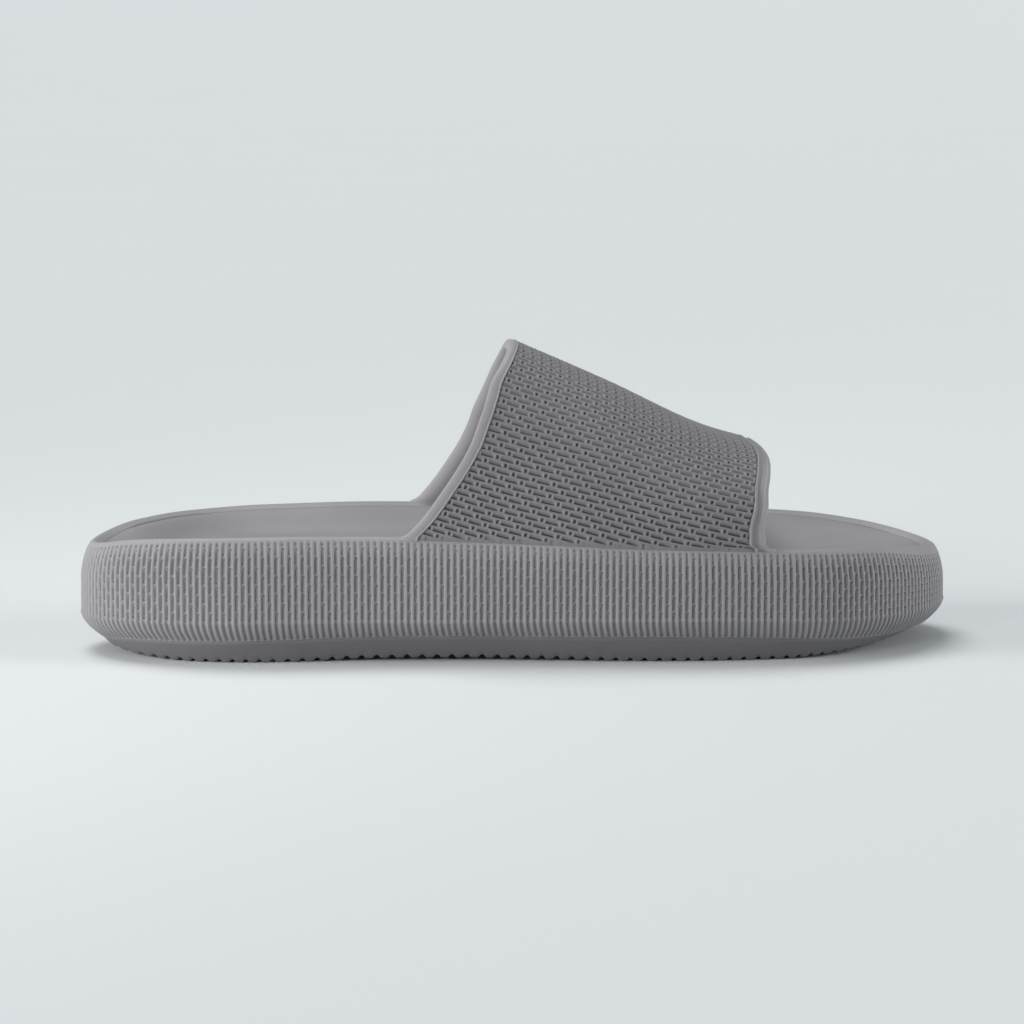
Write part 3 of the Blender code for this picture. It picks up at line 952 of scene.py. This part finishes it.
class SANDAL_OT_midsole(bpy.types.Operator):
    """Builds the ribbed side, the mould seam and the smooth rim"""

    bl_idname = "sandal.midsole"
    bl_label = "Midsole"

    LOWER_ROWS = 9
    WALL_ROWS = 30
    KEPT_COLUMN = 3
    # Depth of the row that lies in under the side
    UNDER_DEPTH = 0.0030
    # First rows of the chamfer: share of its height and of the ribs' depth
    CHAMFER_START = ((0.035, 0.45), (0.08, 1.0))
    CHAMFER_CURVE = 1.7
    # How far the ribs lean towards the toe at their feet, as a share of their pitch, and how that fades
    LEAN = 0.40
    LEAN_CURVE = 1.6
    SEAM_RIDGE = 0.00014
    SEAM_RIBS = 0.72
    # The ribs grow shallower from this share of the wall's height, by this share of their depth
    FADE_START = 0.78
    FADE = 0.45
    # Rows at the tops of the ribs: rise over the wall's last row, and share of the ribs' depth
    RIB_TOPS = ((0.00030, 0.40), (0.00060, 0.15), (0.00090, 0.0))
    # Drop of the wall's last row below the crest, and what is added to it over a part of the toe
    WALL_DROP = 0.0019
    TOE_DROP = 0.0016
    TOE_PART = (0.89, 0.985)
    # Steps from the tops of the ribs to the crest
    CREST_STEPS = (0.6, 0.25, 0.0)
    # The recess ends this far over the footbed's underside, and at least this far below the crest
    RECESS_GAP = 0.001
    RECESS_DEPTH = 0.003

    def top_drop(self, places):
        """How far the wall's last row lies below the crest."""
        return self.WALL_DROP + self.TOE_DROP * soft_step(*self.TOE_PART, places.along)

    def ribbed_rows(self, places):
        """Rows of the side from its foot to the tops of the ribs."""
        foot, seam, rim = level("foot", places), level("seam", places), rim_height(places)
        under = RIB_FOOT_INSET + heel_tuck(places)
        rows = [SideRow(inset, foot, 0.0, -1.0, 1.0) for inset in (under + self.UNDER_DEPTH, under)]
        even = [(k / (self.LOWER_ROWS + 1), 1.0) for k in range(2, self.LOWER_ROWS + 1)]
        for share, ribs in (*self.CHAMFER_START, *even):
            inset = under * (1 - share) ** self.CHAMFER_CURVE
            height = foot + (seam - foot) * share
            rows.append(SideRow(inset, height, ribs, -1.0, (1 - share) ** self.LEAN_CURVE))
        rows.append(SideRow(-self.SEAM_RIDGE, seam, self.SEAM_RIBS, 0.0, 0.0))
        top_drop = self.top_drop(places)
        for k in range(1, self.WALL_ROWS + 1):
            share = k / self.WALL_ROWS
            height = seam + (rim - top_drop - seam) * share
            inset = smooth_value(SHOULDER, "drop", "inset", rim - height)
            ribs = 1 - self.FADE * soft_step(self.FADE_START, 1.0, share)
            rows.append(SideRow(inset, height, ribs, share, 0.0))
        for rise, ribs in self.RIB_TOPS:
            drop = top_drop - rise
            rows.append(SideRow(smooth_value(SHOULDER, "drop", "inset", drop), rim - drop, ribs, 2.0, 0.0))
        return rows

    def smooth_rings(self, places):
        """Rings of the smooth rim from the tops of the ribs over the crest to the recess."""
        rim = rim_height(places)
        last = self.top_drop(places) - self.RIB_TOPS[-1][0]
        rings = []
        for share in self.CREST_STEPS:
            drop = last * share
            rings.append(ring(places, smooth_value(SHOULDER, "drop", "inset", drop), rim - drop))
        for point in INNER_RIM:
            rings.append(ring(places, point.inset, rim - point.drop))
        edge = rim - FOOTBED_EDGE_DROP - CREASE_DEPTH * edge_crease(places)
        floor = level("seat", places) - FOOTBED_THICKNESS + self.RECESS_GAP
        rings.append(ring(places, RECESS_INSET, edge))
        rings.append(ring(places, RECESS_INSET, np.minimum(floor, rim - self.RECESS_DEPTH)))
        return rings

    def execute(self, context):
        relief = context.scene.sandal_relief
        ribs = round(WIDEST.perimeter / relief.rib_pitch)
        columns = ribs * len(RIB_SHAPE)
        around = (np.arange(ribs)[:, None] + np.array([p.around for p in RIB_SHAPE])).ravel()
        levels = np.tile([p.level for p in RIB_SHAPE], ribs)
        places = WIDEST.at_turns(around / ribs)
        rows = self.ribbed_rows(places)
        rings, grooves, heights, twists = [], [], [], []
        for row in rows:
            on_wall = 1.0 if 0.0 < row.share <= 1.0 else 0.0
            filled = np.maximum(levels, Twist.FILL * twist_share(around, row.share) * on_wall)
            groove = (1 - filled) * row.ribs
            inset = row.inset + relief.rib_depth * groove
            leaning = places
            if row.lean:
                leaning = WIDEST.at_turns((around - row.lean * self.LEAN * places.out_y) / ribs % 1.0)
            rings.append(ring(leaning, inset, row.height))
            grooves.append(groove)
            heights.append(np.full(columns, row.share))
            twists.append(np.full(columns, on_wall))
        kept = around[:: self.KEPT_COLUMN]
        rim_rings = self.smooth_rings(WIDEST.at_turns(kept / ribs))
        points = np.concatenate((*rings, *rim_rings))
        start = len(rings) * columns
        faces = ring_faces(len(rings), columns)
        faces += narrowing_faces(columns, start - columns, start, self.KEPT_COLUMN)
        faces += ring_faces(len(rim_rings), len(kept), start)
        numbers = np.concatenate((np.tile(around, len(rings)), np.tile(kept, len(rim_rings))))
        bare = np.zeros(len(points) - start)
        attributes = {
            "rib_number": corner_values(faces, numbers, ribs),
            "groove": np.concatenate((*grooves, bare)),
            "wall_share": np.concatenate((*heights, bare + 2.0)),
            "twist_share": np.concatenate((*twists, bare)),
        }
        looks = context.scene.sandal_finish
        # The side's grooves and pits get painted shade
        material = foam_finish("midsole_foam_finish", looks.foam, wall_relief, wall_painted_shade)
        make_piece("ribbed_side", points, faces, attributes, material, "midsole")
        return {"FINISHED"}


class SANDAL_OT_footbed(bpy.types.Operator):
    """Builds the smooth cupped footbed"""

    bl_idname = "sandal.footbed"
    bl_label = "Footbed"

    # The slope from the edge to the seat, as shares of its width and of its depth
    DISH = table("inwards down", (0, 0), (0.10, 0.10), (0.30, 0.38), (0.55, 0.72), (0.78, 0.93), (1, 1))
    # The rounded edge: its drop and its inset from the recess, halfway and where the slope begins
    EDGE_HALFWAY, SLOPE_START = table("drop inset", (0.00008, 0.0004), (0.00018, 0.0009))
    WALL_GAP = 0.00002
    SIDE_COLUMNS = 180
    DISH_ROWS = 22
    CROSS_LINES = 30

    def execute(self, context):
        half = (1 - np.cos(np.pi * np.arange(self.SIDE_COLUMNS + 1) / self.SIDE_COLUMNS)) / 2
        places = WIDEST.in_pairs(half)
        edge = RECESS_INSET + self.WALL_GAP
        rim, seat = rim_height(places), level("seat", places)
        high = rim - FOOTBED_EDGE_DROP
        start = self.SLOPE_START
        rings = [
            ring(places, edge, seat - FOOTBED_THICKNESS),
            ring(places, edge, high - CREASE_DEPTH * edge_crease(places)),
            ring(places, edge + self.EDGE_HALFWAY.inset, high - self.EDGE_HALFWAY.drop),
        ]
        for inwards in np.linspace(0, 1, self.DISH_ROWS):
            down = float(smooth_value(self.DISH, "inwards", "down", inwards))
            inset = edge + start.inset + (FOOTBED_SLOPE - start.inset) * inwards
            rings.append(ring(places, inset, high - start.drop + (seat - high) * down))
        points, faces = closed_body(rings, 2, self.CROSS_LINES)
        looks = context.scene.sandal_finish
        # The footbed's darker colour is painted shade
        material = foam_finish("footbed_foam_finish", looks.footbed, footbed_relief, None)
        skin = make_piece("footbed_skin", points, faces, {}, material, "footbed")
        return {"FINISHED"}


class SANDAL_OT_weave(bpy.types.Operator):
    """Builds the strap's brick weave between its two edge bands"""

    bl_idname = "sandal.weave"
    bl_label = "Strap weave"

    ROW_TILT = math.radians(20.0)
    MOST_ROWS = 2000
    # Height of the panel over the strap's surface, and how far its sides dip under the bands
    PANEL_RISE = 0.00025
    TUCK = 0.0006
    # The relief fades over these distances from the bands and from the feet
    SIDE_FADE = (0.0, 0.0005)
    FOOT_FADE = (0.0002, 0.0009)
    # Keeps the numbers of the courses above 0 for the shader
    COURSE_SHIFT = 1000.0
    # Tone against the foam's colour: the panel is the same foam, darkened as painted shade
    TONE_WITH_PAINTED_SHADE = 0.70

    @staticmethod
    def course_at(row):
        """The course, with its fraction, at whole row numbers."""
        count = len(Weave.ROWS)
        return row // count + np.asarray(Weave.ROWS)[row % count]

    def execute(self, context):
        relief = context.scene.sandal_relief
        pitch = relief.course_pitch
        width = strap_width()
        low, high = REAR_EDGE_WIDTH / width, 1 - FRONT_EDGE_WIDTH / width
        count = int(round((high - low) * width / PANEL_COLUMN))
        crown = ARC_SAMPLES // 2
        parts = {"weave_run": [], "weave_course": [], "weave_share": [], "knuckle": []}
        points, strands = [], []
        total = 0
        for k in range(count + 1):
            across = low + (high - low) * k / count
            aside = min(k, count - k) * PANEL_COLUMN
            reached = arc_reach(across)
            lateral, medial = reached[crown], reached[-1] - reached[crown]
            course = self.course_at(np.arange(-self.MOST_ROWS, self.MOST_ROWS))
            kept = (course * pitch < lateral - 1e-4) & (course * pitch > 1e-4 - medial)
            course = course[kept][::-1]
            below = int(np.count_nonzero(course > 0)) + 1
            course = np.concatenate(([lateral / pitch], course, [-medial / pitch]))
            distances = -course * pitch
            to_foot = np.minimum(distances + lateral, medial - distances)
            angle = np.interp(distances + reached[crown], reached, ARC_ANGLES)
            share = soft_step(*self.SIDE_FADE, aside) * soft_step(*self.FOOT_FADE, to_foot)
            spots = strap_surface(angle, np.full_like(angle, across))
            tilted = spots[:, 0] * math.cos(self.ROW_TILT) - spots[:, 2] * math.sin(self.ROW_TILT)
            run = tilted / relief.brick_pitch
            lift = share * (self.PANEL_RISE + relief.weave_depth * weave_height(run, course))
            if k in (0, count):
                lift = lift - self.TUCK
            points.append(strand_points(angle, across, lift, to_foot, 0.0))
            values = (run, course + self.COURSE_SHIFT, share, share * knuckle_share(run, course))
            for part, value in zip(parts.values(), values):
                part.append(value)
            strands.append((total, below, len(spots)))
            total += len(spots)
        faces = []
        for here, after in zip(strands, strands[1:]):
            faces += self.stitch(here, after)
        attributes = {key: np.concatenate(part) for key, part in parts.items()}
        looks = context.scene.sandal_finish
        # The panel's colour is the foam's made darker: painted shade
        colour = shade(looks.foam, self.TONE_WITH_PAINTED_SHADE)[:3]
        material = foam_finish("weave_foam_finish", colour, weave_relief, weave_painted_shade, light=weave_painted_highlight)
        make_piece("strap_weave", np.concatenate(points), faces, attributes, material, "upper")
        return {"FINISHED"}

    @staticmethod
    def stitch(here, after):
        """Faces between two strands of points that meet at the crown and differ in length at their feet."""
        faces = []
        for side in (-1, 1):
            sizes = [below if side < 0 else count - 1 - below for start, below, count in (here, after)]
            common = min(sizes)

            def point(strand, k):
                return strand[0] + strand[1] + side * k

            made = []
            for k in range(common):
                made.append((point(here, k), point(here, k + 1), point(after, k + 1), point(after, k)))
            for k in range(common, sizes[0]):
                made.append((point(here, k), point(here, k + 1), point(after, common)))
            for k in range(common, sizes[1]):
                made.append((point(here, common), point(after, k + 1), point(after, k)))
            faces += made if side < 0 else [face[::-1] for face in made]
        return faces


class SANDAL_OT_strap_edges(bpy.types.Operator):
    """Builds the strap's smooth edge bands and its lining"""

    bl_idname = "sandal.strap_edges"
    bl_label = "Strap edges and lining"

    LINING_COLUMNS = 24
    # Rows of points near either foot, by their distance from it, and number of rows between the last ones
    FOOT_ROWS = (0.0, 0.0003, 0.0006, 0.0010, 0.0015, 0.0021, 0.0028)
    BODY_ROWS = 231
    SPREAD_REACH = 0.0030

    def section(self, width):
        """The section from the rear ridge round the inside to the front ridge: place across, height over
        the panel, and share and way of the spread along the rim."""

        def spread(reach):
            return max(0.0, 1 - reach / self.SPREAD_REACH) ** 2

        rear = [(reach / width, rise, -spread(reach)) for reach, rise in [*edge_round(), *REAR_BAND][::-1]]
        front = [(1 - reach / width, rise, spread(reach)) for reach, rise in [*edge_round(), *FRONT_BAND]]
        edge = EDGE_BEVEL / width
        shares = np.arange(1, self.LINING_COLUMNS) / self.LINING_COLUMNS
        return [*rear, *((edge + (1 - 2 * edge) * share, -WALL, 0.0) for share in shares), *front]

    def execute(self, context):
        foot = np.array(self.FOOT_ROWS)
        strands = []
        for across, rise, spread in self.section(strap_width()):
            reached = arc_reach(across)
            body = np.linspace(foot[-1], reached[-1] - foot[-1], self.BODY_ROWS)[1:-1]
            distances = np.concatenate((foot, body, reached[-1] - foot[::-1]))
            angle = np.interp(distances, reached, ARC_ANGLES)
            to_foot = np.minimum(distances, reached[-1] - distances)
            strands.append(strand_points(angle, across, np.full_like(angle, rise), to_foot, spread))
        count = len(strands[0])
        faces = []
        for s in range(len(strands) - 1):
            start, after = s * count, (s + 1) * count
            for k in range(count - 1):
                faces.append((start + k, after + k, after + k + 1, start + k + 1))
        looks = context.scene.sandal_finish
        material = foam_finish("edge_foam_finish", looks.foam, None, None)
        make_piece("strap_edges", np.concatenate(strands), faces, {}, material, "upper")
        return {"FINISHED"}


class SANDAL_OT_studio(bpy.types.Operator):
    """Sets the pale floor, the soft lights and the camera"""

    bl_idname = "sandal.studio"
    bl_label = "Studio"

    AIM = Vector((-0.002, 0.0, 0.0428))
    LENS = 117.3
    SENSOR = 36.0
    AIR = (0.88, 0.95, 1.0, 1.0)
    AIR_STRENGTH = 0.26
    # Distant, wide and soft lights, by the way from the sandal to each. The one at the heel leaves no glare.
    SUNS = (
        Sun("top_sky", (-0.18, 0.33, 0.93), 32.0, 1.62, (1.0, 1.0, 1.0), True),
        Sun("heel_sky", (-0.97, -0.13, 0.23), 26.0, 2.4, (1.0, 0.975, 0.955), False),
        Sun("toe_sky", (0.93, -0.22, 0.28), 26.0, 1.6, (1.0, 1.0, 1.0), True),
    )
    SOFTBOXES = (
        Softbox("heel_softbox", (-1.05, -0.45, 0.20), (-0.10, 0.0, 0.03), 0.5, 0.18, 50.0),
        Softbox("heel_spot", (-0.80, -0.95, 0.42), (-0.20, -0.05, 0.03), 0.3, 0.18, 26.0),
    )
    # Rings of the floor: radii of its flat middle and of its rise, then radii and heights of the low wall
    FLAT_RINGS = (0.5, 1.5, 3.0, 5.0)
    RISING_RINGS = np.linspace(5.5, 12.0, 14)
    WALL_RINGS = ((12.5, 0.90), (12.9, 1.10), (13.1, 1.40), (13.2, 2.00))
    FLOOR_RISE = 0.11 / 7.0
    FLOOR_SPOKES = 96
    FLOOR_TONES = ((0.675, 0.700, 0.715, 1.0), (0.690, 0.715, 0.730, 1.0))

    def floor(self):
        """A wide round floor that rises gently, far out, into a low wall."""
        count = self.FLOOR_SPOKES
        turns = np.linspace(0, 2 * math.pi, count + 1)[:-1]
        outwards = [(r, 0.0) for r in self.FLAT_RINGS]
        outwards += [(r, self.FLOOR_RISE * (r - self.FLAT_RINGS[-1]) ** 2) for r in self.RISING_RINGS]
        outwards += self.WALL_RINGS
        rings = [(r * np.cos(turns), r * np.sin(turns), np.full(count, z)) for r, z in outwards]
        points = np.concatenate([np.stack(spots, axis=1) for spots in rings])
        faces = ring_faces(len(rings), count) + [tuple(range(count))[::-1]]
        finish = Finish("studio_floor_finish")
        tone = finish.mix(finish.noise(scale=2.0), *self.FLOOR_TONES)
        finish.put(finish.shader, {"Base Color": tone, "Roughness": 0.85})
        floor = add_smooth("studio_floor", points, faces, finish.material)

    @staticmethod
    def lamp(light, kind, way, axis):
        """Adds a lamp that has one of its axes turned a given way."""
        data = bpy.data.lights.new(light.name, kind)
        data.energy = light.strength
        lamp = add_object(light.name, data)
        lamp.rotation_euler = way.to_track_quat(axis, "Y").to_euler()
        return lamp

    def execute(self, context):
        scene = context.scene
        self.floor()
        world = bpy.data.worlds.new("studio_air")
        world.use_nodes = True
        background = world.node_tree.nodes["Background"]
        background.inputs["Color"].default_value = self.AIR
        background.inputs["Strength"].default_value = self.AIR_STRENGTH
        scene.world = world
        for sun in self.SUNS:
            lamp = self.lamp(sun, "SUN", Vector(sun.towards), "Z")
            lamp.data.angle = math.radians(sun.spread)
            lamp.data.color = sun.colour
            lamp.visible_glossy = sun.glossy
        for box in self.SOFTBOXES:
            lamp = self.lamp(box, "AREA", Vector(box.aim) - Vector(box.place), "-Z")
            lamp.location = box.place
            lamp.data.size = box.size
            lamp.data.spread = math.radians(box.spread)
        studio = scene.sandal_studio
        turn, tilt = studio.yaw, studio.elevation
        look = Vector((math.sin(turn) * math.cos(tilt), math.cos(turn) * math.cos(tilt), -math.sin(tilt)))
        camera = add_object("photo_camera", bpy.data.cameras.new("photo_camera"))
        camera.data.sensor_width = self.SENSOR
        camera.data.lens = self.LENS
        camera.location = self.AIM - look * studio.distance
        camera.rotation_euler = look.to_track_quat("-Z", "Y").to_euler()
        scene.camera = camera
        scene.view_settings.view_transform = "Standard"
        return {"FINISHED"}


class SANDAL_PT_panel(bpy.types.Panel):
    """Lists the sandal's pieces"""

    bl_idname = "SANDAL_PT_panel"
    bl_label = "Slide Sandal"
    bl_space_type = "VIEW_3D"
    bl_region_type = "UI"
    bl_category = "Sandal"

    def draw(self, context):
        for group in (context.scene.sandal_relief, context.scene.sandal_finish, context.scene.sandal_studio):
            for key in group.__annotations__:
                self.layout.prop(group, key)
        for operator in OPERATORS:
            self.layout.operator(operator.bl_idname)


GROUPS = {
    "sandal_relief": SandalRelief,
    "sandal_finish": SandalFinish,
    "sandal_studio": SandalStudio,
}
OPERATORS = (
    SANDAL_OT_studio,
    SANDAL_OT_outsole,
    SANDAL_OT_midsole,
    SANDAL_OT_footbed,
    SANDAL_OT_weave,
    SANDAL_OT_strap_edges,
)


def register():
    for name, group in GROUPS.items():
        bpy.utils.register_class(group)
        setattr(bpy.types.Scene, name, PointerProperty(type=group))
    for operator in OPERATORS:
        bpy.utils.register_class(operator)
    bpy.utils.register_class(SANDAL_PT_panel)


def unregister():
    bpy.utils.unregister_class(SANDAL_PT_panel)
    for operator in reversed(OPERATORS):
        bpy.utils.unregister_class(operator)
    for name, group in GROUPS.items():
        delattr(bpy.types.Scene, name)
        bpy.utils.unregister_class(group)


def main():
    register()
    bpy.ops.sandal.studio()
    bpy.ops.sandal.outsole()
    bpy.ops.sandal.midsole()
    bpy.ops.sandal.footbed()
    bpy.ops.sandal.weave()
    bpy.ops.sandal.strap_edges()


if __name__ == "__main__":
    main()
